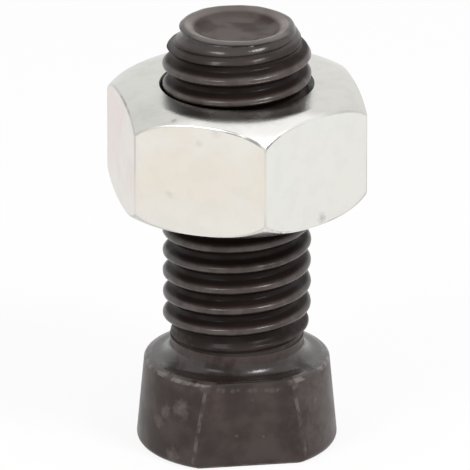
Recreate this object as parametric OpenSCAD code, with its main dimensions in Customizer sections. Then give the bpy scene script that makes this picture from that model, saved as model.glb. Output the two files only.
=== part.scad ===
// Plow bolt standing on its head, with a hexagon nut run part of the way down the thread.
// The frame has its origin in the middle of the head's end face and +Z along the shank.

/* [Bolt] */
// Overall length, from the head's end face to the rim of the point
bolt_l = 35; // [28:0.5:60]
// Diameter of the blank where the thread runs out
neck_d = 10.4; // [10.2:0.05:11]

/* [Head] */
// Height of the tapered head
head_h = 7.25; // [5:0.05:10]
// Diameter of the head's taper at the end face
head_end_d = 16; // [15.5:0.1:20]
// Diameter of the head's taper at the shank side
head_top_d = 14.7; // [14.2:0.1:15.4]
// Distance across the two flats of the head
head_af = 13; // [12.6:0.1:14]
// Rounding of the edge round the end face
head_edge_r = 0.6; // [0.3:0.1:1.5]

/* [Collar] */
// Largest diameter of the rounded bead on top of the head
bead_d = 12.7; // [12.2:0.1:12.8]
// Radius of the bead's rounding
bead_r = 0.5; // [0.45:0.05:0.8]
// Height of the bead's widest line above the head
bead_mid_h = 0.35; // [0.2:0.05:0.4]
// Height of the collar, from the head to its small shoulder
collar_h = 1.65; // [1.5:0.05:2.5]
// Width of the shoulder between the collar and the neck
shoulder_w = 0.1; // [0.05:0.01:0.2]

/* [Thread] */
// Diameter over the crests
thread_d = 11.75; // [11.6:0.01:12.4]
// Axial distance from one crest to the next
thread_pitch = 1.75; // [1.25:0.05:2]
// Length over which the thread runs out, above the shoulder
runout_l = 1.7; // [1.5:0.1:5]
// Turn of the helix about the axis, in degrees
thread_turn = 165; // [0:5:355]
// Straight steps in one turn of the helix
turn_steps = 48; // [24:6:48]

/* [Point] */
// Diameter of the rim at the end of the point
point_d = 8.9; // [8.6:0.1:9.6]
// Length of the chamfered point
point_l = 2.5; // [1.5:0.1:4]
// Diameter of the shallow dish in the end
dish_d = 7.2; // [4:0.1:8.2]
// Depth of the dish
dish_depth = 0.5; // [0.2:0.05:1]

/* [Nut] */
// Distance across the nut's flats
nut_af = 18.7; // [17.8:0.1:22]
// Height of the nut
nut_h = 9.75; // [6:0.05:12]
// Radius of the rounding that leaves a round face at both ends
nut_round_r = 3.4; // [3.2:0.1:6]
// Width of the rounding at the middle of a side
nut_round_w = 1.35; // [0.8:0.05:1.8]
// Widening of the bore at its mouths, on diameter
nut_mouth_extra = 0.4; // [0.2:0.1:2]
// Radial room between the crests and the nut's plain bore
nut_clearance = 0.05; // [0.02:0.01:0.2]
// Distance from the shank side of the head to the nut's bearing face
grip_l = 13; // [4:0.25:40]
// Turn of the nut about the axis, in degrees
nut_turn = 33; // [0:1:59]

/* [Hidden] */
$fn = 96;
// Depth by which joined shapes run into each other, and cutters run past a face
overlap = 0.2;

head_end_r = head_end_d / 2;
head_top_r = head_top_d / 2;
taper = atan((head_end_r - head_top_r) / head_h);

neck_r = neck_d / 2;
shoulder = [neck_r + shoulder_w, head_h + collar_h];
bead_mid = [bead_d / 2 - bead_r, head_h + bead_mid_h];

// Profile of a 60 degree thread, from root to crest to root, as shares of the pitch
flank_angle = 30;
crest_flat = 1 / 5;
root_flat = 1 / 4;
crest_r = thread_d / 2;
thread_depth = thread_pitch * (1 - crest_flat - root_flat) / 2 / tan(flank_angle);
root_r = crest_r - thread_depth;
corner_at = [root_flat / 2, 0.5 - crest_flat / 2, 0.5 + crest_flat / 2, 1 - root_flat / 2];
corner_r = [root_r, crest_r, crest_r, root_r];
turn_rows = len(corner_at);

// The point is a cone that cuts the thread away, and is plain where it is inside the roots
point_r = point_d / 2;
point_slope = (crest_r - point_r) / point_l;
plain_point_l = max((root_r - point_r) / point_slope, point_l / 10);
plain_z = bolt_l - plain_point_l;
dish_r = (dish_d * dish_d / 4 + dish_depth * dish_depth) / (2 * dish_depth);

// The threaded shank starts inside the collar, and its last row is on the plain point
shank_z = head_h + collar_h / 2;
last_row = turn_rows * ceil((plain_z - shank_z) / thread_pitch + 1) - 1;

nut_z = head_h + grip_l;
nut_corner_r = nut_af / 2 / cos(30);
nut_face_r = nut_af / 2 - nut_round_w;
bore_r = crest_r + nut_clearance;
mouth_r = bore_r + nut_mouth_extra / 2;

// Part of the thread's depth that is formed: none at the shoulder, all of it above the run-out
function formed(z) =
    let (u = max(0, min(1, (z - shoulder[1]) / runout_l)))
    u * u * (3 - 2 * u);

// Height of a row of profile corners on the endless helix, at a step round the axis
function helix_z(step, row) =
    shank_z + thread_pitch * (floor(row / turn_rows) + corner_at[row % turn_rows] + step / turn_steps);

// Rows that pass the start of the plain point are spread out over it, up to the rim
function row_z(step, row) =
    let (z = helix_z(step, row), past_rim = helix_z(step, last_row + 1))
    z <= plain_z ? z : plain_z + plain_point_l * (z - plain_z) / (past_rim - plain_z);

function row_r(row, z) =
    let (cut_r = neck_r + (corner_r[row % turn_rows] - neck_r) * formed(z))
    min(cut_r, point_r + point_slope * (bolt_l - z));

// Threaded shank as one closed skin: columns stand round the axis, and rows follow the helix
module threaded_shank() {
    rim = last_row + 1;
    skin = [
        for (step = [0 : turn_steps - 1])
            let (angle = thread_turn + 360 * step / turn_steps)
            for (row = [-1 : rim])
                let (
                    z = row < 0 ? shank_z : row == rim ? bolt_l : row_z(step, row),
                    r = row < 0 ? neck_r : row == rim ? point_r : row_r(row, z)
                )
                [r * cos(angle), r * sin(angle), z]
    ];
    function at(step, row) = (step % turn_steps) * (rim + 2) + row + 1;
    // Past the last column the helix comes round to the first one, a whole turn up
    sides = [
        for (step = [0 : turn_steps - 1])
            let (up = step == turn_steps - 1 ? turn_rows : 0)
            for (row = [-1 : rim + up - 1])
                let (
                    low = at(step, row < 0 ? row : max(row - up, 0)),
                    high = at(step, max(row + 1 - up, 0)),
                    next_low = at(step + 1, min(row, rim)),
                    next_high = at(step + 1, min(row + 1, rim))
                )
                each [
                    if (low != high) [low, high, next_low],
                    if (next_low != next_high) [next_low, high, next_high]
                ]
    ];
    base = [for (step = [0 : turn_steps - 1]) at(step, -1)];
    end = [for (step = [turn_steps - 1 : -1 : 0]) at(step, rim)];
    polyhedron(skin, concat(sides, [base, end]));
}

module dish() {
    translate([0, 0, bolt_l - dish_depth + dish_r])
        sphere(dish_r);
}

// Bead on the head, with a cone that leaves it smoothly and ends at the shoulder
module collar() {
    reach = shoulder - bead_mid;
    touch = atan2(reach[1], reach[0]) - acos(bead_r / norm(reach));
    rotate_extrude() {
        translate(bead_mid)
            circle(bead_r);
        polygon([
            [0, head_h - overlap],
            [bead_mid[0], head_h - overlap],
            bead_mid + bead_r * [cos(touch), sin(touch)],
            shoulder,
            [0, shoulder[1]]
        ]);
    }
}

// Round taper with a rounded edge at the end face, cut by two upright flats
module head() {
    edge_mid = [head_end_r - head_edge_r * (1 + sin(taper)) / cos(taper), head_edge_r];
    intersection() {
        rotate_extrude() {
            translate(edge_mid)
                circle(head_edge_r);
            polygon([
                [0, 0],
                [edge_mid[0], 0],
                edge_mid + head_edge_r * [cos(taper), sin(taper)],
                [head_top_r, head_h],
                [0, head_h]
            ]);
        }
        translate([-head_end_r, -head_af / 2, -overlap])
            cube([2 * head_end_r, head_af, head_h + 2 * overlap]);
    }
}

module bolt() {
    color([0.28, 0.25, 0.24]) {
        difference() {
            threaded_shank();
            dish();
        }
        collar();
        head();
    }
}

// Round body, wider than the hexagon, that is rounded at its lower end
module nut_rounding() {
    rotate_extrude() {
        square([nut_face_r, nut_h]);
        translate([nut_face_r, nut_round_r])
            circle(nut_round_r);
        translate([0, nut_round_r])
            square([nut_face_r + nut_round_r, nut_h]);
    }
}

// Plain bore over the crests, with a 45 degree mouth at each end
module nut_bore() {
    mouth_h = mouth_r - bore_r;
    rotate_extrude()
        polygon([
            [0, -overlap],
            [mouth_r + overlap, -overlap],
            [bore_r, mouth_h],
            [bore_r, nut_h - mouth_h],
            [mouth_r + overlap, nut_h + overlap],
            [0, nut_h + overlap]
        ]);
}

module nut() {
    color([0.86, 0.85, 0.82])
        translate([0, 0, nut_z])
            rotate(nut_turn)
                difference() {
                    intersection() {
                        cylinder(r = nut_corner_r, h = nut_h, $fn = 6);
                        nut_rounding();
                        translate([0, 0, nut_h])
                            mirror([0, 0, 1])
                                nut_rounding();
                    }
                    nut_bore();
                }
}

bolt();
nut();
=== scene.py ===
from math import acos, atan2, ceil, cos, hypot, pi, radians, sin, sqrt, tan

import bmesh
import bpy
from bpy.props import FloatProperty, FloatVectorProperty, IntProperty, PointerProperty
from bpy.types import Operator, Panel, PropertyGroup, Scene
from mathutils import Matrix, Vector, noise


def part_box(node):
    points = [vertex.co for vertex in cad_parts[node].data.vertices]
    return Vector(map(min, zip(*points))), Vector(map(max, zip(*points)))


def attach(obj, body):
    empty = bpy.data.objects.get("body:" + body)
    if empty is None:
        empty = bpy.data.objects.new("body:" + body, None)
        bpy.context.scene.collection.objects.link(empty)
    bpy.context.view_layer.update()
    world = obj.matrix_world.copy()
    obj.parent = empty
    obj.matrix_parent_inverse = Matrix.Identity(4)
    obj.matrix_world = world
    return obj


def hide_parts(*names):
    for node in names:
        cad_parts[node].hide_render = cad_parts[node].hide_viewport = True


bl_info = {
    "name": "Plow Bolt",
    "version": (1, 0, 0),
    "blender": (4, 5, 0),
    "location": "3D View > Sidebar > Plow Bolt",
    "description": "Forged black plow bolt with a zinc-plated hexagon nut, on a white studio floor",
    "category": "Object",
}

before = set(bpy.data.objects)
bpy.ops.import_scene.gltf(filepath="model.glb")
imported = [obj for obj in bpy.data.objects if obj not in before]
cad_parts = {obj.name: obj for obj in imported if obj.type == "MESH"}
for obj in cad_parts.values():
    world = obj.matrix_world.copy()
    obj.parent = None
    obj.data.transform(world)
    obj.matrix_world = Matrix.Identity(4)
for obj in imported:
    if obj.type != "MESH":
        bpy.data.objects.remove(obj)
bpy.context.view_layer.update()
BOLT_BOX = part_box("bolt")
NUT_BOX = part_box("nut")
PICTURE_PX = 470


def length(name, description, default):
    """A property that holds a length in metres."""
    return FloatProperty(name=name, description=description, default=default, precision=5, unit="LENGTH")


def shift(name, description, default):
    """A property that holds a level displacement in metres."""
    return FloatVectorProperty(
        name=name, description=description, default=default, size=2, precision=5, unit="LENGTH"
    )


def angle(name, description, default):
    """A property that holds an angle, given here in degrees."""
    return FloatProperty(name=name, description=description, default=radians(default), unit="ROTATION")


def colour(name, description, default):
    """A property that holds a linear colour."""
    return FloatVectorProperty(
        name=name, description=description, default=default, size=3, min=0, subtype="COLOR"
    )


class ThreadSizes(PropertyGroup):
    """The thread that the bolt and the nut share"""

    crest_d: length("Crest diameter", "Diameter over the crests of the bolt's thread", 0.01175)
    pitch: length("Pitch", "Axial distance from one crest to the next", 0.00175)
    crest_w: length("Crest width", "Axial width of the crests before they are rounded", 0.00035)
    crest_round: length("Crest rounding", "Radius on the edges of the crests", 0.00024)
    root_round: length("Root rounding", "Radius in the corners of the roots", 0.0003)
    profile_step: length("Profile step", "Longest straight step along the thread's profile", 0.00015)
    play: length("Play", "Radial room between the threads of the bolt and the nut", 0.00009)
    turn: angle("Turn", "Turn of the helix about the axis", 165)
    turn_h: length("Turn height", "Height of a root's middle at that turn", 0.008075)
    steps: IntProperty(name="Steps", description="Straight steps in a turn of the helix", default=96, min=12)


class BoltSizes(PropertyGroup):
    """The forged bolt"""

    head_h: length("Head height", "Height of the tapered head", 0.00725)
    head_end_d: length("Head end", "Diameter of the head's taper at the end face", 0.016)
    head_top_d: length("Head top", "Diameter of the head's taper at the shank side", 0.0147)
    head_af: length("Across flats", "Distance across the head's two flats", 0.013)
    end_round: length("End rounding", "Rounding of the edge round the end face", 0.0006)
    top_round: length("Top rounding", "Rounding of the edge at the shank side", 0.0003)
    side_wear: length("Side wear", "Depth to which the upright edges of the flats are rubbed", 0.00004)
    rim_wear: length("Rim wear", "Depth to which the level edges of the flats are rubbed", 0.00005)
    fillet_r: length("Fillet", "Radius of the hollow fillet between the collar and the head", 0.00104)
    top_drop: length("Top slope", "How far the head's top slopes down from the fillet to its rim", 0.0002)
    top_edge_w: length("Top edge width", "Width of the steeper edge of the head's top", 0.0006)
    collar_h: length("Collar height", "Height of the collar from the head to its shoulder", 0.00165)
    shoulder_w: length("Shoulder", "Width of the shoulder between the collar and the neck", 0.0001)
    neck_d: length("Neck diameter", "Diameter of the blank where the thread runs out", 0.0104)
    runout_l: length("Run-out", "Length over which the thread runs out", 0.0017)
    ridge: length("Rolling ridge", "Height of the faint ridges that the rolls leave in the run-out", 0.00008)
    point_d: length("Point diameter", "Diameter of the rim at the end of the point", 0.0089)
    point_l: length("Point length", "Length of the chamfered point", 0.0025)
    point_groove: length("Point groove", "Depth of the thread's first, shallow turn on the point", 0.00022)
    point_dent: length("Point dent", "Depth to which one side of the point is dented", 0.0006)
    rim_round: length("Rim rounding", "Height of the rounding on the rim of the point", 0.0002)
    dish_d: length("Dish diameter", "Diameter of the shallow dish in the end", 0.0072)
    dish_depth: length("Dish depth", "Depth of the dish", 0.0005)
    unevenness: length("Unevenness", "How far the thread and the end stray from their true form", 0.00003)
    steps: IntProperty(name="Steps", description="Straight steps round the head", default=144, min=12)


class NutSizes(PropertyGroup):
    """The hexagon nut"""

    af: length("Across flats", "Distance across the nut's flats", 0.0187)
    top_round: length("Top rounding", "Radius of the rounding that leaves a round face on top", 0.00333)
    low_round: length("Low rounding", "Radius of the rounding that leaves a round face below", 0.00323)
    round_w: length("Rounding width", "Width of the rounding at the middle of a side", 0.00135)
    top_shift: shift("Top shift", "How far the upper rounding was turned off the axis", (0.00008, 0.00007))
    low_shift: shift("Low shift", "How far the lower rounding was turned off the axis", (-0.00014, 0.0))
    mouth_d: length("Mouth diameter", "Diameter of the bore's mouths", 0.01225)
    edge: length("Edge", "Width of the softened edges", 0.0002)
    turn: angle("Turn", "Turn of the nut about the axis", 33)
    side_steps: IntProperty(name="Steps", description="Straight steps along each side", default=32, min=2)


class Finishes(PropertyGroup):
    """Colours of the surfaces"""

    oil_black: colour("Oiled black", "Phosphate coat on the bolt", (0.036, 0.0245, 0.0215))
    oil_brown: colour("Rubbed brown", "Thinner places in the coat", (0.055, 0.0395, 0.0355))
    # Painted shade: near-black colour laid into the thread's grooves, the run-out and the fillet under the
    # collar; it also darkens the point
    shade_black: colour("Groove black", "Oil and scale in the thread's grooves", (0.015, 0.010, 0.0085))
    bare_steel: colour("Bare steel", "Steel that shows where the coat is rubbed away", (0.25, 0.22, 0.205))
    zinc_tan: colour("Tan zinc", "Zinc with a yellowish passivation", (0.81, 0.76, 0.68))
    zinc_white: colour("White zinc", "Zinc with hardly any passivation", (0.82, 0.805, 0.76))
    zinc_green: colour("Green zinc", "Zinc with a greenish passivation", (0.81, 0.815, 0.765))
    zinc_pink: colour("Pink zinc", "Zinc with a reddish passivation", (0.77, 0.695, 0.655))
    zinc_face: colour("Face zinc", "Zinc on the nut's rounded ends", (0.67, 0.665, 0.625))
    # Darker colour that the rounded ends take towards the left
    zinc_face_left: colour("Dull zinc", "Duller zinc on one side of the rounded ends", (0.635, 0.635, 0.595))
    # Painted reflection: a light colour laid on the front of the rounded ends
    zinc_reflection: colour("Bright zinc", "Cleaner zinc on another side of the rounded ends", (0.9, 0.89, 0.86))
    zinc_dark: colour("Dark zinc", "Zinc at the edges and in scuffs", (0.36, 0.35, 0.34))
    # Painted shade: near-black zinc laid over the bore and its mouths
    zinc_bore_shade: colour("Bore zinc", "Oily zinc in the nut's bore", (0.10, 0.10, 0.09))
    floor: colour("Floor", "The studio floor", (0.95, 0.95, 0.95))


class StageSizes(PropertyGroup):
    """Camera, lamps and floor"""

    azimuth: angle("Camera azimuth", "Turn of the camera about the axis; 0 looks along +Y", -9)
    elevation: angle("Camera elevation", "Height of the camera above the horizon", 21.3)
    focal: FloatProperty(
        name="Focal length", description="Lens of the camera in millimetres", default=1000, unit="CAMERA"
    )
    view_w: length("View width", "Width of the picture at the bolt", 0.03716)
    aim_h: length("Aim height", "Height on the axis that the camera looks at", 0.01716)
    axis_px: FloatProperty(
        name="Axis", description="Picture column that the axis is on", default=236.8, subtype="PIXEL"
    )
    floor_w: length("Floor width", "Width of the square floor", 4.0)
    lamp_far: length("Lamp distance", "Distance of the lamps from the bolt", 0.35)
    lamp_w: length("Lamp width", "Width of the square lamps", 0.10)


class PlowBoltSettings(PropertyGroup):
    """All sizes and colours of the plow bolt"""

    thread: PointerProperty(type=ThreadSizes)
    bolt: PointerProperty(type=BoltSizes)
    nut: PointerProperty(type=NutSizes)
    finish: PointerProperty(type=Finishes)
    stage: PointerProperty(type=StageSizes)


# Modelling, in millimetres about the bolt's axis

# Reaches within which vertices merge, cuts snap and open loops are joined
MERGE_REACH = 1e-4
TURN_MERGE_REACH = 1e-3
CUT_REACH = 1e-5
JOIN_REACH = 0.1

# Straight steps of each rounding on the thread's profile
THREAD_STEPS = 3

# Edges over this angle are shaded sharp
SHARP_ANGLE = radians(35)


def mm(metres):
    """Meshes are modelled in millimetres, and made metres when they are finished."""
    return metres * 1000


def smooth_step(u):
    """0 below 0, 1 above 1, and a smooth rise between them."""
    u = max(0.0, min(1.0, u))
    return u * u * (3 - 2 * u)


def window(value, start, end, rise, fall):
    """1 between two values, with a smooth rise after the first and a smooth fall before the last."""
    return smooth_step((value - start) / rise) * smooth_step((end - value) / fall)


def radius_of(vert):
    """Distance of a vertex from the axis."""
    return hypot(vert.co.x, vert.co.y)


def set_radius(vert, radius):
    """Moves a vertex square to the axis, to a radius."""
    share = radius / radius_of(vert)
    vert.co.x *= share
    vert.co.y *= share


def arc(middle, radius, start, end, steps):
    """Points of an arc in the profile plane, from one angle to another."""
    angles = [start + (end - start) * i / steps for i in range(steps + 1)]
    return [Vector((middle[0] + radius * cos(a), middle[1] + radius * sin(a))) for a in angles]


def rounded(corners, steps):
    """A profile through (radius, height, rounding) corners, with an arc at each rounded one."""
    points = [Vector(c[:2]) for c in corners]
    profile = []
    for i, (_, _, rounding) in enumerate(corners):
        if not rounding:
            profile.append(points[i])
            continue
        back = (points[i - 1] - points[i]).normalized()
        on = (points[i + 1] - points[i]).normalized()
        half = acos(back.dot(on)) / 2
        middle = points[i] + (back + on).normalized() * rounding / sin(half)
        first = points[i] + back * rounding / tan(half) - middle
        last = points[i] + on * rounding / tan(half) - middle
        start = atan2(first.y, first.x)
        sweep = (atan2(last.y, last.x) - start + pi) % (2 * pi) - pi
        profile += arc(middle, rounding, start, start + sweep, steps)
    return profile


def wire(bm, profile, turn):
    """A chain of edges along a profile of (radius, height) points, at an angle round the axis."""
    verts = [bm.verts.new((r * cos(turn), r * sin(turn), z)) for r, z in profile]
    return verts + [bm.edges.new(pair) for pair in zip(verts, verts[1:])]


def revolve(bm, profile, steps, turn=0.0):
    """Spins a profile once round the axis."""
    line = wire(bm, profile, turn)
    bmesh.ops.spin(bm, geom=line, axis=(0, 0, 1), angle=2 * pi, steps=steps, use_merge=True)
    bmesh.ops.remove_doubles(bm, verts=bm.verts, dist=MERGE_REACH)


def thread_profile(crest_r, root_r, thread):
    """One pitch of a 60 degree thread, from the middle of a root to the middle of the next."""
    pitch = mm(thread.pitch)
    crest_w = mm(thread.crest_w)
    crest_round = mm(thread.crest_round)
    root_round = mm(thread.root_round)
    corners = rounded([
        (root_r, 0, 0),
        (root_r, pitch / 8, root_round),
        (crest_r, (pitch - crest_w) / 2, crest_round),
        (crest_r, (pitch + crest_w) / 2, crest_round),
        (root_r, pitch * 7 / 8, root_round),
        (root_r, pitch, 0),
    ], steps=THREAD_STEPS)
    profile = corners[:1]
    for first, last in zip(corners, corners[1:]):
        parts = ceil((last - first).length / mm(thread.profile_step))
        profile += [first.lerp(last, i / parts) for i in range(1, parts + 1)]
    return profile


def thread_depth(thread):
    """Depth of a 60 degree thread whose root is 1/4 of the pitch wide."""
    return (mm(thread.pitch) * 3 / 4 - mm(thread.crest_w)) / 2 / tan(radians(30))


def screw(bm, profile, thread, bottom, top):
    """Spins one pitch of thread as a screw, and repeats the turn from below bottom to above top."""
    pitch = mm(thread.pitch)
    low = mm(thread.turn_h)
    low -= pitch * ceil((low - bottom) / pitch + 1)
    turns = ceil((top - low) / pitch)
    line = wire(bm, [(r, z + low) for r, z in profile], thread.turn)
    bmesh.ops.spin(
        bm, geom=line, axis=(0, 0, 1), dvec=(0, 0, pitch / thread.steps), angle=2 * pi, steps=thread.steps
    )
    turn = everything(bm)
    for i in range(1, turns):
        copy = bmesh.ops.duplicate(bm, geom=turn)["geom"]
        verts = [v for v in copy if isinstance(v, bmesh.types.BMVert)]
        bmesh.ops.translate(bm, verts=verts, vec=(0, 0, pitch * i))
    bmesh.ops.remove_doubles(bm, verts=bm.verts, dist=TURN_MERGE_REACH)


def everything(bm):
    """All geometry of a mesh, as the operators take it."""
    return list(bm.verts) + list(bm.edges) + list(bm.faces)


def cut(bm, place, normal):
    """Cuts a mesh off in front of a plane, and returns the edges on the cut."""
    done = bmesh.ops.bisect_plane(
        bm, geom=everything(bm), dist=CUT_REACH, plane_co=place, plane_no=normal, clear_outer=True
    )
    return [e for e in done["geom_cut"] if isinstance(e, bmesh.types.BMEdge)]


def slice_flat(bm, place, normal, worn, wear):
    """Cuts a closed shape flat at a plane, and marks how worn the new face is."""
    edges = cut(bm, place, normal)
    for face in bmesh.ops.holes_fill(bm, edges=edges)["faces"]:
        face[worn] = wear


def draw_in(bm, edges, rings):
    """Extrudes a loop of edges inwards through (radius, height) rings, and closes the last one."""
    for radius, height in rings:
        grown = bmesh.ops.extrude_edge_only(bm, edges=edges)["geom"]
        edges = [e for e in grown if isinstance(e, bmesh.types.BMEdge)]
        for vert in [v for v in grown if isinstance(v, bmesh.types.BMVert)]:
            set_radius(vert, radius)
            vert.co.z = height
    bmesh.ops.holes_fill(bm, edges=edges)


def take_in(bm, other):
    """Adds another mesh to this one, and frees it."""
    mesh = bpy.data.meshes.new("taken_in")
    other.to_mesh(mesh)
    other.free()
    bm.from_mesh(mesh)
    bpy.data.meshes.remove(mesh)


def join_at(bm, height):
    """Bridges the two open loops of a mesh at a height."""
    open_edges = [e for e in bm.edges if e.is_boundary]
    level = [e for e in open_edges if all(abs(v.co.z - height) < JOIN_REACH for v in e.verts)]
    bmesh.ops.bridge_loops(bm, edges=level)


def add_object(name, data):
    """A new object at the origin, in the scene."""
    thing = bpy.data.objects.new(name, data)
    bpy.context.scene.collection.objects.link(thing)
    return thing


def finish_piece(bm, name, node, material):
    """Makes a piece in metres of a modelled shape, which stands for its CAD node."""
    bmesh.ops.recalc_face_normals(bm, faces=bm.faces)
    bmesh.ops.scale(bm, vec=(0.001, 0.001, 0.001), verts=bm.verts)
    mesh = bpy.data.meshes.new(name)
    bm.to_mesh(mesh)
    bm.free()
    mesh.shade_smooth()
    mesh.set_sharp_from_angle(angle=SHARP_ANGLE)
    mesh.materials.append(material)
    piece = add_object(name, mesh)
    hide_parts(node)
    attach(piece, node)


# The bolt

# Reach of the marks in millimetres: ridges above the shoulder, the others below the end
RIDGE_REACH = {"start": 0.0, "end": 1.9, "rise": 0.5, "fall": 0.9}
SEAM_REACH = {"start": 0.3, "end": 1.8, "rise": 0.3, "fall": 0.4}
DENT_REACH = {"start": 0.1, "end": 1.9, "rise": 0.4, "fall": 0.5}
GROOVE_RISE = 0.3

# The seam runs half a turn from the groove and a little later, and is nearly as deep
SEAM_LAG = 0.5 + 0.02
SEAM_DEPTH = 0.9
SEAM_SHARPNESS = 8

# Side of the point that is dented, as a level direction
DENT_SIDE = Vector((-0.72, 0.695))
DENT_SHARPNESS = 5

# Nicks in the crests, as (middle, reach, depth) in millimetres
SHANK_NICKS = (
    ((0.91, -5.7, 32.68), 0.45, 0.14),
    ((5.2, -2.5, 30.9), 0.4, 0.1),
)

# Sizes in millimetres of the waves by which the thread and the sheared end stray
BROAD_WAVE = 1.9
FINE_WAVE = 0.6
END_WAVE = 1.4
END_WAVE_START = Vector((9, 4, 0))

# The straying grows over these heights, is larger on the sheared end and fades near the axis
THREAD_RISE = 2.0
SHEARED_H = 1.4
SHEARED_RISE = 0.9
SHEARED_SHARE = 1.5
STEADY_R = 3.0

# Straight steps of the rounded profiles
RIM_STEPS = 6
DISH_STEPS = 8
FILLET_STEPS = 12

# Width of the dish's soft edge in widths of the land outside it, and rings of its floor as shares
DISH_EDGE = 3
DISH_RINGS = (0.75, 0.5, 0.25, 0.1)

# Share of the fall of the head's top that lies inside its steeper edge
INNER_FALL = 0.2

# How far the coat is rubbed off the faces along the head's edges, from 0 to 1
RIM_WORN = 0.55
TOP_EDGE_WORN = 0.2
FLAT_TOP_WORN = 0.05
FLAT_END_WORN = 0.3
FLAT_SIDE_WORN = 0.25


def shoulder_height(size):
    """Height of the shoulder, where the thread starts to form."""
    return mm(size.head_h) + mm(size.collar_h)


def shank_mesh(size, thread):
    """Threaded shank with its run-out, chamfered point and dished end, open at the shoulder."""
    top = mm(BOLT_BOX[1].z)
    bottom = shoulder_height(size)
    neck_r = mm(size.neck_d) / 2
    crest_r = mm(thread.crest_d) / 2
    point_r = mm(size.point_d) / 2
    least_r = point_r / 2
    slope = (crest_r - point_r) / mm(size.point_l)
    bm = bmesh.new()
    screw(bm, thread_profile(crest_r, crest_r - thread_depth(thread), thread), thread, bottom, top)
    for vert in bm.verts:
        above = vert.co.z - bottom
        below = top - vert.co.z
        turns = (vert.co.z - mm(thread.turn_h)) / mm(thread.pitch)
        turns -= (atan2(vert.co.y, vert.co.x) - thread.turn) / (2 * pi)
        formed = smooth_step(above / mm(size.runout_l))
        ridge = mm(size.ridge) * window(above, **RIDGE_REACH) * cos(4 * pi * turns)
        radius = neck_r + (radius_of(vert) - neck_r) * formed + ridge
        point = point_r + slope * below - point_marks(size, vert, turns, below)
        set_radius(vert, max(least_r, min(radius, point)))
    cut(bm, (0, 0, bottom), (0, 0, -1))
    rim_h = mm(size.rim_round)
    rim = cut(bm, (0, 0, top - rim_h), (0, 0, 1))
    draw_in(bm, rim, end_rings(size, point_r + slope * rim_h, top))
    make_uneven(bm, mm(size.unevenness), bottom, top)
    return bm


def point_marks(size, vert, turns, below):
    """Depth of the marks on the point: the thread's first shallow turn, a seam and a dent."""
    groove = max(0, cos(2 * pi * turns)) ** 2 * smooth_step(below / GROOVE_RISE)
    seam = max(0, cos(2 * pi * (turns - SEAM_LAG))) ** SEAM_SHARPNESS * window(below, **SEAM_REACH)
    dent = max(0, vert.co.xy.normalized().dot(DENT_SIDE)) ** DENT_SHARPNESS * window(below, **DENT_REACH)
    return mm(size.point_groove) * (groove + SEAM_DEPTH * seam) + mm(size.point_dent) * dent


def end_rings(size, rim_r, top):
    """Rings of the bolt's end: its rounded rim, then a shallow dish with a soft edge."""
    rim_h = mm(size.rim_round)
    dish_r = mm(size.dish_d) / 2
    land_r = (mm(size.point_d) / 2 + dish_r) / 2
    edge_w = DISH_EDGE * (land_r - dish_r)
    rings = []
    for i in range(1, RIM_STEPS + 1):
        turn = pi / 2 * i / RIM_STEPS
        rings.append((land_r + (rim_r - land_r) * cos(turn), top - rim_h * (1 - sin(turn))))
    for i in range(1, DISH_STEPS + 1):
        share = i / DISH_STEPS
        rings.append((land_r - edge_w * share, top - mm(size.dish_depth) * smooth_step(share)))
    inner_r, inner_z = rings[-1]
    return rings + [(inner_r * share, inner_z) for share in DISH_RINGS]


def make_uneven(bm, depth, bottom, top):
    """Lets the thread's radius stray a little, the end and its rim a good deal more, and nicks it."""
    for middle, reach, nick in SHANK_NICKS:
        for vert in bm.verts:
            near = smooth_step(1 - (vert.co - Vector(middle)).length / reach)
            if near:
                set_radius(vert, radius_of(vert) - nick * near)
    for vert in bm.verts:
        radius = radius_of(vert)
        rolled = smooth_step((vert.co.z - bottom) / THREAD_RISE)
        sheared = smooth_step((vert.co.z - top + SHEARED_H) / SHEARED_RISE)
        wave = noise.noise(vert.co / BROAD_WAVE) + 0.5 * noise.noise(vert.co / FINE_WAVE)
        stray = depth * wave * (rolled + SHEARED_SHARE * sheared) * min(1, radius / STEADY_R)
        set_radius(vert, radius + stray)
        vert.co.z -= depth * sheared * (1 + noise.noise(vert.co / END_WAVE + END_WAVE_START))


def base_profiles(size):
    """Profile of the head, from the axis out and up to the fillet, and of the fillet and collar."""
    head_h = mm(size.head_h)
    fillet_r = mm(size.fillet_r)
    shoulder = Vector((mm(size.neck_d) / 2 + mm(size.shoulder_w), shoulder_height(size)))
    middle = (shoulder.x + fillet_r, head_h + fillet_r)
    collar = arc(middle, fillet_r, -pi / 2, -pi, FILLET_STEPS) + [shoulder]
    top_r = mm(size.head_top_d) / 2
    top_round = mm(size.top_round)
    drop = mm(size.top_drop)
    head = rounded([
        (0, 0, 0),
        (mm(size.head_end_d) / 2, 0, mm(size.end_round)),
        (top_r, head_h - drop, top_round),
        (top_r - mm(size.top_edge_w), head_h - INNER_FALL * drop, top_round),
        (collar[0].x, head_h, 0),
    ], steps=RIM_STEPS)
    return [(r, max(0.0, z)) for r, z in head], collar


def flat_edge(size, height):
    """Half width of a flat of the head at a height."""
    end_r = mm(size.head_end_d) / 2
    top_r = mm(size.head_top_d) / 2
    radius = end_r + (top_r - end_r) * height / mm(size.head_h)
    return sqrt(radius ** 2 - (mm(size.head_af) / 2) ** 2)


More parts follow.
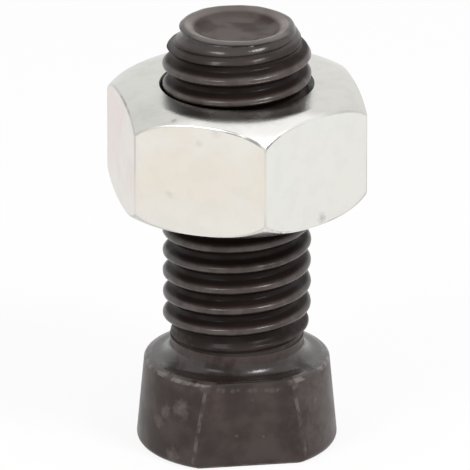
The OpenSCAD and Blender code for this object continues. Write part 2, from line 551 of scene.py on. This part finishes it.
def cut_flats(bm, size, worn):
    """Cuts the head's two flats, and rubs their edges down."""
    half = mm(size.head_af) / 2
    head_h = mm(size.head_h)
    side_wear = mm(size.side_wear)
    rim_wear = mm(size.rim_wear)
    for y in (-1, 1):
        slice_flat(bm, (0, y * half, 0), (0, y, 0), worn, 0.0)
    for y in (-1, 1):
        slice_flat(bm, (0, y * half, head_h - 2 * rim_wear), (0, y, 1), worn, FLAT_TOP_WORN)
        slice_flat(bm, (0, y * half, 4 * rim_wear), (0, y, -1), worn, FLAT_END_WORN)
        for x in (-1, 1):
            low = Vector((x * flat_edge(size, 0), y * half, 0))
            high = Vector((x * flat_edge(size, head_h), y * half, head_h))
            along = (high - low).normalized()
            middle = (low + high) / 2
            normal = Vector((middle.x, middle.y, 0)).normalized() + Vector((0, y, 0))
            normal = (normal - along * normal.dot(along)).normalized()
            slice_flat(bm, middle - normal * side_wear, normal, worn, FLAT_SIDE_WORN)


def rub_rim(bm, size, worn):
    """Marks how worn the rim of the head's top is, and the steeper edge inside it."""
    top_round = mm(size.top_round)
    low = mm(size.head_h) - mm(size.top_drop) - 1.5 * top_round
    for face in bm.faces:
        middle = face.calc_center_median()
        inward = mm(size.head_top_d) / 2 - middle.xy.length
        if middle.z > low and inward < mm(size.top_edge_w):
            face[worn] = RIM_WORN if inward < top_round else TOP_EDGE_WORN


def bolt_mesh(size, thread):
    """The whole forged bolt as one closed skin."""
    bm = bmesh.new()
    worn = bm.faces.layers.float.new("worn")
    head, collar = base_profiles(size)
    revolve(bm, head, size.steps)
    rub_rim(bm, size, worn)
    cut_flats(bm, size, worn)
    revolve(bm, collar, size.steps)
    take_in(bm, shank_mesh(size, thread))
    join_at(bm, shoulder_height(size))
    return bm


# The nut

SIDE_ANGLE = pi / 3
SHELL_RINGS = 10

# Turn that keeps a corner of the hexagon on one of its two sides
CORNER_NUDGE = 1e-5

# Edges over this angle and this far outside the round faces are softened
HARD_ANGLE = radians(15)
HARD_REACH = 0.4

# Upright part of the normal from which a face counts as a rounded end
END_TILT = 0.2


def hexagon_radius(size, turn):
    """Distance from the axis to the hexagon's outline, at an angle from one of its corners."""
    return mm(size.af) / 2 / cos(turn % SIDE_ANGLE - SIDE_ANGLE / 2)


def nut_face_radius(size):
    """Radius of the flat round faces."""
    return mm(size.af) / 2 - mm(size.round_w)


def hexagon_shell(size):
    """Outside of the nut with its rounded ends, open round its two faces."""
    bottom, top = mm(NUT_BOX[0].z), mm(NUT_BOX[1].z)
    face_r = nut_face_radius(size)
    corner_r = hexagon_radius(size, 0)
    radii = [face_r + (corner_r - face_r) * i / SHELL_RINGS for i in range(SHELL_RINGS + 1)]
    profile = [(r, bottom) for r in radii] + [(r, top) for r in reversed(radii)]
    bm = bmesh.new()
    revolve(bm, profile, 6 * size.side_steps, size.turn)
    for vert in bm.verts:
        upper = vert.co.z > (bottom + top) / 2
        middle = mm(Vector(size.top_shift if upper else size.low_shift))
        share = (radius_of(vert) - face_r) / (corner_r - face_r)
        way = vert.co.xy.normalized()
        side_r = hexagon_radius(size, atan2(way.y, way.x) - size.turn + CORNER_NUDGE)
        place = (middle + way * face_r).lerp(way * side_r, share)
        out = max(0.0, (place - middle).length - face_r)
        round_r = mm(size.top_round if upper else size.low_round)
        drop = round_r - sqrt(round_r ** 2 - out ** 2)
        vert.co = (*place, vert.co.z - drop if upper else vert.co.z + drop)
    return bm


def bore_mesh(size, thread):
    """Threaded bore of the nut with its wider mouths, open at both ends."""
    bottom, top = mm(NUT_BOX[0].z), mm(NUT_BOX[1].z)
    crest_r = mm(thread.crest_d) / 2 + mm(thread.play)
    mouth_r = mm(size.mouth_d) / 2
    bm = bmesh.new()
    screw(bm, thread_profile(crest_r, crest_r - thread_depth(thread), thread), thread, bottom, top)
    for vert in bm.verts:
        depth = min(vert.co.z - bottom, top - vert.co.z)
        set_radius(vert, max(radius_of(vert), mouth_r - depth))
    cut(bm, (0, 0, bottom), (0, 0, -1))
    cut(bm, (0, 0, top), (0, 0, 1))
    return bm


def nut_mesh(size, thread):
    """The whole nut as one closed skin, with softened edges."""
    bottom, top = mm(NUT_BOX[0].z), mm(NUT_BOX[1].z)
    bm = hexagon_shell(size)
    worn = bm.faces.layers.float.new("worn")
    take_in(bm, bore_mesh(size, thread))
    for level in (bottom, top):
        join_at(bm, level)
    bmesh.ops.recalc_face_normals(bm, faces=bm.faces)
    outside = nut_face_radius(size) + HARD_REACH
    hard = [e for e in bm.edges if e.calc_face_angle(0) > HARD_ANGLE]
    hard = [e for e in hard if all(radius_of(v) > outside for v in e.verts)]
    done = bmesh.ops.bevel(
        bm, geom=hard, offset=mm(size.edge), offset_type="OFFSET", segments=3, profile=0.5,
        affect="EDGES", clamp_overlap=True, material=-1,
    )
    for face in done["faces"]:
        face[worn] = 1.0
    return bm


def tint_sides(bm, size, finish):
    """Gives each side of the nut and its rounded ends the tint of their passivation, and its bore a painted
    shade.
    """
    tint = bm.faces.layers.float_color.new("tint")
    end = bm.faces.layers.float.new("end")
    sides = (finish.zinc_tan, finish.zinc_green, finish.zinc_pink)
    for face in bm.faces:
        middle = face.calc_center_median()
        turn = (atan2(middle.y, middle.x) - size.turn) % (2 * pi)
        face[tint] = opaque(sides[int(turn / SIDE_ANGLE) % len(sides)])
        # Painted shade over the bore
        if middle.xy.length < mm(size.mouth_d) / 2:
            face[tint] = opaque(finish.zinc_bore_shade)
        elif abs(face.normal.z) > END_TILT:
            face[end] = 1.0


# Shader nodes


def put(tree, kind, inputs=None, **settings):
    """Adds a node, with its settings, and its inputs as values or as links from other nodes."""
    node = tree.nodes.new(kind)
    for key, value in settings.items():
        setattr(node, key, value)
    for key, value in (inputs or {}).items():
        if isinstance(value, bpy.types.NodeSocket):
            tree.links.new(value, node.inputs[key])
        else:
            node.inputs[key].default_value = value
    return node


def calculate(tree, operation, *values):
    """A Math node's result."""
    return put(tree, "ShaderNodeMath", dict(enumerate(values)), operation=operation).outputs[0]


def ramp(tree, value, low, high, to_low=0.0, to_high=1.0):
    """A value that rises smoothly from to_low to to_high as its input goes from low to high."""
    inputs = {"Value": value, "From Min": low, "From Max": high, "To Min": to_low, "To Max": to_high}
    return put(tree, "ShaderNodeMapRange", inputs, interpolation_type="SMOOTHSTEP").outputs[0]


def times(tree, first, *others):
    """The product of several values."""
    for value in others:
        first = calculate(tree, "MULTIPLY", first, value)
    return first


def most_of(tree, first, *others):
    """The largest of several values."""
    for value in others:
        first = calculate(tree, "MAXIMUM", first, value)
    return first


def blend_colour(tree, share, first, second):
    """A colour between two others."""
    names = {"Factor": share, 6: first, 7: second}
    return put(tree, "ShaderNodeMix", names, data_type="RGBA").outputs[2]


def opaque(rgb):
    """A colour property as a socket takes it."""
    return (*rgb, 1.0)


def new_group(name, inputs, outputs):
    """An empty node group with its sockets, given as (name, type, default), and its two ends."""
    group = bpy.data.node_groups.new(name, "ShaderNodeTree")
    for label, kind, default in inputs:
        socket = group.interface.new_socket(name=label, in_out="INPUT", socket_type=kind)
        if default is not None:
            socket.default_value = default
    for label, kind in outputs:
        group.interface.new_socket(name=label, in_out="OUTPUT", socket_type=kind)
    return group, put(group, "NodeGroupInput"), put(group, "NodeGroupOutput")


def group_amount(tree, group, inputs):
    """The amount that a group gives, placed in a material or another group."""
    return put(tree, "ShaderNodeGroup", inputs, node_tree=group).outputs["Amount"]


def patches_group():
    """Soft patches of a given size in millimetres, from 0 to 1."""
    inputs = [
        ("Place", "NodeSocketVector", None),
        ("Patch Size", "NodeSocketFloat", 1.0),
        ("Detail", "NodeSocketFloat", 3.0),
    ]
    group, start, end = new_group("Patches", inputs, [("Amount", "NodeSocketFloat")])
    scale = calculate(group, "DIVIDE", 1.0, start.outputs["Patch Size"])
    names = {"Vector": start.outputs["Place"], "Scale": scale, "Detail": start.outputs["Detail"]}
    cloud = put(group, "ShaderNodeTexNoise", names)
    group.links.new(ramp(group, cloud.outputs[0], 0.34, 0.66), end.inputs["Amount"])
    return group


def mark_group(patches):
    """A ragged round mark of a given radius about a place, both in millimetres."""
    inputs = [
        ("Place", "NodeSocketVector", None),
        ("Middle", "NodeSocketVector", None),
        ("Radius", "NodeSocketFloat", 0.5),
    ]
    group, start, end = new_group("Mark", inputs, [("Amount", "NodeSocketFloat")])
    names = {0: start.outputs["Place"], 1: start.outputs["Middle"]}
    away = put(group, "ShaderNodeVectorMath", names, operation="DISTANCE").outputs["Value"]
    near = calculate(group, "DIVIDE", away, start.outputs["Radius"])
    rag = group_amount(group, patches, {"Place": start.outputs["Place"], "Patch Size": 0.5})
    near = calculate(group, "ADD", near, ramp(group, rag, 0.0, 1.0, -0.2, 0.2))
    group.links.new(ramp(group, near, 0.1, 1.1, 1.0, 0.0), end.inputs["Amount"])
    return group


def shared_groups():
    """The two node groups that both materials use, made once."""
    patches = bpy.data.node_groups.get("Patches") or patches_group()
    return patches, bpy.data.node_groups.get("Mark") or mark_group(patches)


def millimetres(tree):
    """Object coordinates in millimetres."""
    place = put(tree, "ShaderNodeTexCoord").outputs["Object"]
    return put(tree, "ShaderNodeVectorMath", {0: place, "Scale": 1000.0}, operation="SCALE").outputs[0]


def attribute(tree, name, output):
    """A value or colour that the mesh holds for each face."""
    return put(tree, "ShaderNodeAttribute", attribute_name=name).outputs[output]


def new_material(name):
    """An empty material, its node tree and its shader."""
    material = bpy.data.materials.new(name)
    material.use_nodes = True
    tree = material.node_tree
    return material, tree, tree.nodes["Principled BSDF"]


# Materials

# Places of marks, stains, painted sheen and duller gloss on the surfaces, as (middle, radius) in millimetres
HEAD_SCUFFS = (
    ((-5.36, -5.33, 4.77), 0.95),
    ((-6.37, -4.15, 4.12), 0.8),
    ((-6.77, -3.64, 3.19), 0.7),
    ((-5.97, -5.14, 0.83), 0.8),
    ((5.47, -5.21, 4.83), 0.4),
    ((-3.6, -6.5, 6.95), 0.6),
    ((3.6, -6.5, 6.95), 0.6),
)
SMALL_MARKS = (
    ((-2.5, -6.5, 6.7), 0.3),
    ((-2.1, -6.5, 6.6), 0.25),
    ((-1.4, -6.5, 6.5), 0.25),
    ((-0.9, -6.5, 6.55), 0.2),
    ((0.05, -6.5, 6.5), 0.3),
    ((0.4, -6.5, 6.5), 0.25),
    ((1.4, -6.5, 6.45), 0.25),
    ((1.8, -6.5, 6.42), 0.3),
    ((2.2, -6.5, 6.42), 0.2),
    ((0.22, -6.5, 5.64), 0.16),
    ((-1.06, -6.5, 2.67), 0.18),
    ((1.1, -6.5, 2.54), 0.16),
)
# Painted sheen: lighter places on the sides of the collar and the head, where the lamps' light falls
SHEEN_PLACES = (
    ((4.3, -3.2, 8.4), 2.4),
    ((6.2, -4.3, 4.0), 4.0),
    ((-4.9, -2.0, 8.5), 2.0),
)
DULL_PLACES = (
    ((-2.5, -4.9, 7.7), 1.4),
    ((-1.6, -5.2, 7.7), 1.4),
    ((-5.6, -2.7, 7.3), 1.4),
    ((4.7, -3.9, 7.3), 1.1),
)
ZINC_SPOTS = (
    ((-6.08, -6.83, 29.75), 0.35),
    ((5.58, -7.6, 21.2), 0.5),
)
ZINC_STAINS = (
    ((-7.8, -4.58, 29.6), 2.0),
    ((-3.12, -8.9, 29.3), 0.6),
    ((-4.38, -8.26, 28.24), 0.45),
    ((-6.46, -7.2, 23.72), 0.45),
    ((6.3, -1.0, 30.0), 0.9),
    ((2.2, -10.4, 20.9), 0.9),
)
DARK_EDGES = (
    ((-1.9, -9.6, 29.5), 1.4),
    ((-0.4, -10.2, 29.1), 1.4),
    ((1.2, -10.6, 28.6), 1.4),
    ((2.2, -10.5, 21.3), 1.4),
    ((-9.5, -2.0, 29.5), 2.5),
)


def marked(tree, mark, place, spots):
    """The largest amount of several marks, given as (middle, radius) in millimetres."""
    names = [{"Place": place, "Middle": middle, "Radius": radius} for middle, radius in spots]
    return most_of(tree, *(group_amount(tree, mark, inputs) for inputs in names))


def cloudy(tree, patches, place, size, detail):
    """Soft patches of a size in millimetres."""
    return group_amount(tree, patches, {"Place": place, "Patch Size": size, "Detail": detail})


def bolt_zones(tree, place, size, thread):
    """Masks of the bolt's surfaces, which radius and height in millimetres tell apart."""
    level = put(tree, "ShaderNodeVectorMath", {0: place, 1: (1, 1, 0)}, operation="MULTIPLY").outputs[0]
    radius = put(tree, "ShaderNodeVectorMath", {0: level}, operation="LENGTH").outputs["Value"]
    height = put(tree, "ShaderNodeSeparateXYZ", {0: place}).outputs["Z"]
    crest_r = mm(thread.crest_d) / 2
    dish_r = mm(size.dish_d) / 2
    shoulder = shoulder_height(size)
    top = mm(BOLT_BOX[1].z)
    fillet_low = mm(size.head_h) - mm(size.top_drop)
    fillet_high = mm(size.head_h) + 0.8 * mm(size.fillet_r)
    fade = 0.1

    threaded = times(
        tree, ramp(tree, height, shoulder - 0.02, shoulder + 0.15),
        ramp(tree, height, top - 1.9, top - 1.5, 1.0, 0.0),
    )
    end = times(
        tree, ramp(tree, height, top - 0.7, top - 0.5),
        ramp(tree, radius, dish_r + 0.4, dish_r + 0.6, 1.0, 0.0),
    )
    return {
        "groove": times(
            tree, threaded, ramp(tree, radius, crest_r - 0.42, crest_r - 0.15, 1.0, 0.0),
            ramp(tree, height, shoulder + 0.2, shoulder + 1.5, 0.6, 1.0),
        ),
        "crest": times(tree, threaded, ramp(tree, radius, crest_r - 0.3, crest_r - 0.05)),
        "end": end,
        "rim": times(tree, end, ramp(tree, radius, dish_r - 0.4, dish_r + 0.1)),
        "lip": calculate(tree, "SUBTRACT", ramp(tree, height, top - 0.25, top - 0.08), end),
        "point": calculate(tree, "SUBTRACT", ramp(tree, height, top - 1.9, top - 1.6), end),
        "point_end": calculate(tree, "SUBTRACT", ramp(tree, height, top - 1.05, top - 0.9), end),
        "fillet": times(
            tree, ramp(tree, height, fillet_low - fade, fillet_low),
            ramp(tree, height, fillet_high, fillet_high + fade, 1.0, 0.0),
        ),
    }


def bolt_wear(tree, place, zones, mark, broad, middling):
    """How far the bolt's coat is rubbed away: along the edges, on the end and in scattered marks, with
    painted highlights on the end's rim and lip and painted sheen in a few places.
    """
    back = put(tree, "ShaderNodeSeparateXYZ", {0: place}).outputs["Y"]
    return most_of(
        tree,
        times(tree, attribute(tree, "worn", "Fac"), ramp(tree, middling, 0.1, 0.9, 0.1, 1.0)),
        times(tree, zones["crest"], ramp(tree, middling, 0.2, 1.0, 0.0, 0.1)),
        # Rubbed rim of the dish, partly a painted highlight: it is lightened more strongly at the front
        times(
            tree, zones["rim"],
            ramp(tree, broad, 0.0, 1.0, 0.8, 1.0), ramp(tree, back, 0.5, 3.5, 1.0, 0.5),
        ),
        # Painted highlight along the front of the lip
        times(tree, zones["lip"], ramp(tree, back, -3.5, -1.5, 0.3, 0.0)),
        times(tree, zones["end"], ramp(tree, broad, 0.0, 1.0, 0.04, 0.14)),
        times(tree, marked(tree, mark, place, HEAD_SCUFFS), ramp(tree, middling, 0.0, 1.0, 0.18, 0.32)),
        times(tree, marked(tree, mark, place, SMALL_MARKS), 0.15),
        # Painted sheen: lighter places on the collar and the head
        times(tree, marked(tree, mark, place, SHEEN_PLACES), 0.1),
    )


def bolt_gloss(tree, place, zones, mark, broad):
    """The oil film: thick on the crests, the point's end and the head's top, thin in the grooves."""
    dry = most_of(
        tree,
        times(tree, most_of(tree, zones["groove"], zones["end"]), 0.3),
        times(tree, marked(tree, mark, place, DULL_PLACES), 0.8),
    )
    wet = most_of(
        tree,
        times(tree, most_of(tree, zones["crest"], zones["point_end"]), 0.45),
        times(tree, zones["fillet"], 0.6),
    )
    film = calculate(tree, "SUBTRACT", ramp(tree, broad, 0.0, 1.0, 0.35, 0.5), dry)
    return calculate(tree, "MINIMUM", calculate(tree, "ADD", film, wet), 1.0)


def oiled_black(finish, size, thread):
    """Oiled phosphate on forged steel, with black painted shade in the thread's grooves and the fillet, and
    rubbed along the edges.
    """
    material, tree, shader = new_material("oiled_black")
    patches, mark = shared_groups()
    place = millimetres(tree)
    broad = cloudy(tree, patches, place, 2.2, 4.0)
    middling = cloudy(tree, patches, place, 0.9, 3.0)
    fine = cloudy(tree, patches, place, 0.25, 5.0)
    zones = bolt_zones(tree, place, size, thread)

    coat = blend_colour(tree, broad, opaque(finish.oil_black), opaque(finish.oil_brown))
    # Painted shade: the grooves, the run-out and the fillet are drawn towards the shade black, and the point
    # is darkened as well
    dark = most_of(tree, zones["groove"], times(tree, zones["fillet"], 0.8), times(tree, zones["point"], 0.6))
    coat = blend_colour(tree, dark, coat, opaque(finish.shade_black))
    bare = bolt_wear(tree, place, zones, mark, broad, middling)
    tree.links.new(blend_colour(tree, bare, coat, opaque(finish.bare_steel)), shader.inputs["Base Color"])
    tree.links.new(ramp(tree, broad, 0.0, 1.0, 0.5, 0.6), shader.inputs["Roughness"])

    shader.inputs["Specular IOR Level"].default_value = 0.05
    shader.inputs["Coat Roughness"].default_value = 0.22
    tree.links.new(bolt_gloss(tree, place, zones, mark, broad), shader.inputs["Coat Weight"])
    relief = calculate(tree, "ADD", fine, times(tree, broad, 2.0))
    bump = put(tree, "ShaderNodeBump", {"Height": relief, "Strength": 0.06, "Distance": 0.00004})
    tree.links.new(bump.outputs[0], shader.inputs["Normal"])
    tree.links.new(bump.outputs[0], shader.inputs["Coat Normal"])
    return material


def zinc_plate(tree, place, finish, broad, end):
    """Colour of the plate: each side has its tint, and the ends are darker towards the left, with a painted
    reflection at the front.
    """
    tint = attribute(tree, "tint", "Color")
    brightness = put(tree, "ShaderNodeSeparateColor", {0: tint}).outputs["Red"]
    across = put(tree, "ShaderNodeSeparateXYZ", {0: place})
    bottom = mm(NUT_BOX[0].z)
    low = ramp(tree, across.outputs["Z"], bottom + 0.75, bottom + 4.75, 0.7, 0.0)
    plain = most_of(tree, ramp(tree, broad, 0.2, 1.0, 0.0, 0.7), low)
    plain = times(tree, ramp(tree, brightness, 0.3, 0.7), plain)
    side = blend_colour(tree, plain, tint, opaque(finish.zinc_white))
    # The rounded ends darken towards the left
    right = ramp(tree, across.outputs["X"], -9.0, 3.0)
    face = blend_colour(tree, right, opaque(finish.zinc_face_left), opaque(finish.zinc_face))
    # Painted reflection on the front of the rounded ends
    front = ramp(tree, across.outputs["Y"], -8.0, -6.8, 0.9, 0.0)
    face = blend_colour(tree, front, face, opaque(finish.zinc_reflection))
    return blend_colour(tree, end, side, face)


def bright_zinc(finish):
    """Zinc plate with a faint iridescent passivation, darker along the edges and in a few marks."""
    material, tree, shader = new_material("bright_zinc")
    patches, mark = shared_groups()
    place = millimetres(tree)
    broad = cloudy(tree, patches, place, 5.0, 2.0)
    middling = cloudy(tree, patches, place, 1.3, 3.0)
    fine = cloudy(tree, patches, place, 0.3, 4.0)
    end = attribute(tree, "end", "Fac")

    edges = most_of(tree, ramp(tree, broad, 0.0, 1.0, 0.1, 0.4), marked(tree, mark, place, DARK_EDGES))
    dark = most_of(
        tree,
        times(tree, ramp(tree, middling, 0.3, 1.0), ramp(tree, end, 0.0, 1.0, 0.04, 0.1)),
        times(tree, attribute(tree, "worn", "Fac"), edges),
        times(tree, marked(tree, mark, place, ZINC_SPOTS), 0.65),
        times(tree, marked(tree, mark, place, ZINC_STAINS), 0.2),
    )
    plate = zinc_plate(tree, place, finish, broad, end)
    tree.links.new(blend_colour(tree, dark, plate, opaque(finish.zinc_dark)), shader.inputs["Base Color"])
    shader.inputs["Metallic"].default_value = 1.0
    rough = calculate(tree, "SUBTRACT", ramp(tree, broad, 0.0, 1.0, 0.32, 0.4), times(tree, end, 0.1))
    tree.links.new(rough, shader.inputs["Roughness"])
    bump = put(tree, "ShaderNodeBump", {"Height": fine, "Strength": 0.08, "Distance": 0.00003})
    tree.links.new(bump.outputs[0], shader.inputs["Normal"])
    return material


# The stage

WHITE = (1, 1, 1, 1)

# Share of the floor's own look that is plain white, and strength of the light from all round
FLOOR_GLOW = 0.88
WORLD_LIGHT = 0.6

# Lamps, as (name, degrees round from the camera, degrees up, watts)
LAMPS = (
    ("lamp_right", 46, 48, 0.54),
    ("lamp_left", -40, 45, 0.3),
)


def seen_directly(tree):
    """1 for rays from the camera and for reflected and refracted ones, 0 for scattered light."""
    rays = put(tree, "ShaderNodeLightPath").outputs
    return most_of(tree, rays["Is Camera Ray"], rays["Is Glossy Ray"], rays["Is Transmission Ray"])


def studio_floor(finish):
    """White floor that is seen nearly white, with a light shadow under the bolt."""
    material, tree, shader = new_material("studio_floor")
    shader.inputs["Base Color"].default_value = opaque(finish.floor)
    shader.inputs["Roughness"].default_value = 1.0
    shader.inputs["Specular IOR Level"].default_value = 0.0
    glow = put(tree, "ShaderNodeEmission", {"Color": WHITE, "Strength": 1.0})
    share = times(tree, seen_directly(tree), FLOOR_GLOW)
    mixed = put(tree, "ShaderNodeMixShader", {0: share, 1: shader.outputs[0], 2: glow.outputs[0]})
    tree.links.new(mixed.outputs[0], tree.nodes["Material Output"].inputs["Surface"])
    return material


def studio_world():
    """Even surroundings that are seen white, and light the scene a little less."""
    world = bpy.data.worlds.new("studio")
    world.use_nodes = True
    tree = world.node_tree
    seen = put(tree, "ShaderNodeBackground", {"Color": WHITE, "Strength": 1.0})
    light = tree.nodes["Background"]
    light.inputs["Color"].default_value = WHITE
    light.inputs["Strength"].default_value = WORLD_LIGHT
    names = {0: seen_directly(tree), 1: light.outputs[0], 2: seen.outputs[0]}
    mixed = put(tree, "ShaderNodeMixShader", names)
    tree.links.new(mixed.outputs[0], tree.nodes["World Output"].inputs["Surface"])
    bpy.context.scene.world = world


def direction(azimuth, elevation):
    """The way from the bolt to something at an azimuth, 0 being -Y, and an elevation."""
    level = cos(elevation)
    return Vector((sin(azimuth) * level, -cos(azimuth) * level, sin(elevation)))


def aim(thing, place, target):
    """Puts a camera or lamp in a place, looking at a target."""
    thing.location = place
    thing.rotation_euler = (target - place).to_track_quat("-Z", "Y").to_euler()


def add_lamp(stage, name, azimuth, elevation, watts):
    """A square soft lamp, turned from the camera by azimuth."""
    light = bpy.data.lights.new(name, "AREA")
    light.energy = watts
    light.size = stage.lamp_w
    lamp = add_object(name, light)
    target = Vector((0, 0, stage.aim_h))
    way = direction(stage.azimuth + radians(azimuth), radians(elevation))
    aim(lamp, target + way * stage.lamp_far, target)


def add_camera(stage):
    """The camera, at the photograph's view."""
    data = bpy.data.cameras.new("camera")
    data.lens = stage.focal
    data.shift_x = (PICTURE_PX / 2 - stage.axis_px) / PICTURE_PX
    data.clip_end = 100.0
    camera = add_object("camera", data)
    target = Vector((0, 0, stage.aim_h))
    far = stage.view_w * stage.focal / data.sensor_width
    aim(camera, target + direction(stage.azimuth, stage.elevation) * far, target)
    bpy.context.scene.camera = camera


def add_floor(stage, material):
    """The floor, a square under the bolt."""
    bm = bmesh.new()
    bmesh.ops.create_grid(bm, x_segments=1, y_segments=1, size=stage.floor_w / 2)
    mesh = bpy.data.meshes.new("floor")
    bm.to_mesh(mesh)
    bm.free()
    mesh.materials.append(material)
    floor = add_object("floor", mesh)


# Operators and panel


class PLOWBOLT_OT_bolt(Operator):
    """Model the forged bolt with its thread and worn black coat"""

    bl_idname = "plow_bolt.bolt"
    bl_label = "Bolt"

    def execute(self, context):
        settings = context.scene.plow_bolt
        material = oiled_black(settings.finish, settings.bolt, settings.thread)
        bm = bolt_mesh(settings.bolt, settings.thread)
        finish_piece(bm, "black_bolt", "bolt", material)
        return {"FINISHED"}


class PLOWBOLT_OT_nut(Operator):
    """Model the zinc-plated hexagon nut with its threaded bore"""

    bl_idname = "plow_bolt.nut"
    bl_label = "Nut"

    def execute(self, context):
        settings = context.scene.plow_bolt
        material = bright_zinc(settings.finish)
        bm = nut_mesh(settings.nut, settings.thread)
        tint_sides(bm, settings.nut, settings.finish)
        finish_piece(bm, "zinc_nut", "nut", material)
        return {"FINISHED"}


class PLOWBOLT_OT_stage(Operator):
    """Set up the white floor, the soft lamps and the camera"""

    bl_idname = "plow_bolt.stage"
    bl_label = "Stage"

    def execute(self, context):
        settings = context.scene.plow_bolt
        add_floor(settings.stage, studio_floor(settings.finish))
        studio_world()
        for lamp in LAMPS:
            add_lamp(settings.stage, *lamp)
        add_camera(settings.stage)
        context.scene.view_settings.view_transform = "Standard"
        return {"FINISHED"}


class PLOWBOLT_PT_panel(Panel):
    """Sizes, colours and operators of the plow bolt"""

    bl_idname = "PLOWBOLT_PT_panel"
    bl_label = "Plow Bolt"
    bl_space_type = "VIEW_3D"
    bl_region_type = "UI"
    bl_category = "Plow Bolt"

    def draw(self, context):
        settings = context.scene.plow_bolt
        for part in ("thread", "bolt", "nut", "finish", "stage"):
            box = self.layout.box()
            box.label(text=part.capitalize())
            group = getattr(settings, part)
            for name in group.__annotations__:
                box.prop(group, name)
        for operator in OPERATORS:
            self.layout.operator(operator.bl_idname)


OPERATORS = (PLOWBOLT_OT_bolt, PLOWBOLT_OT_nut, PLOWBOLT_OT_stage)
CLASSES = (
    ThreadSizes, BoltSizes, NutSizes, Finishes, StageSizes, PlowBoltSettings, *OPERATORS, PLOWBOLT_PT_panel,
)


def register():
    """Adds the classes, and the settings to the scene."""
    for cls in CLASSES:
        bpy.utils.register_class(cls)
    Scene.plow_bolt = PointerProperty(type=PlowBoltSettings)


def unregister():
    """Takes the settings and the classes away again."""
    del Scene.plow_bolt
    for cls in reversed(CLASSES):
        bpy.utils.unregister_class(cls)


def main():
    register()
    bpy.ops.plow_bolt.bolt()
    bpy.ops.plow_bolt.nut()
    bpy.ops.plow_bolt.stage()


if __name__ == "__main__":
    main()
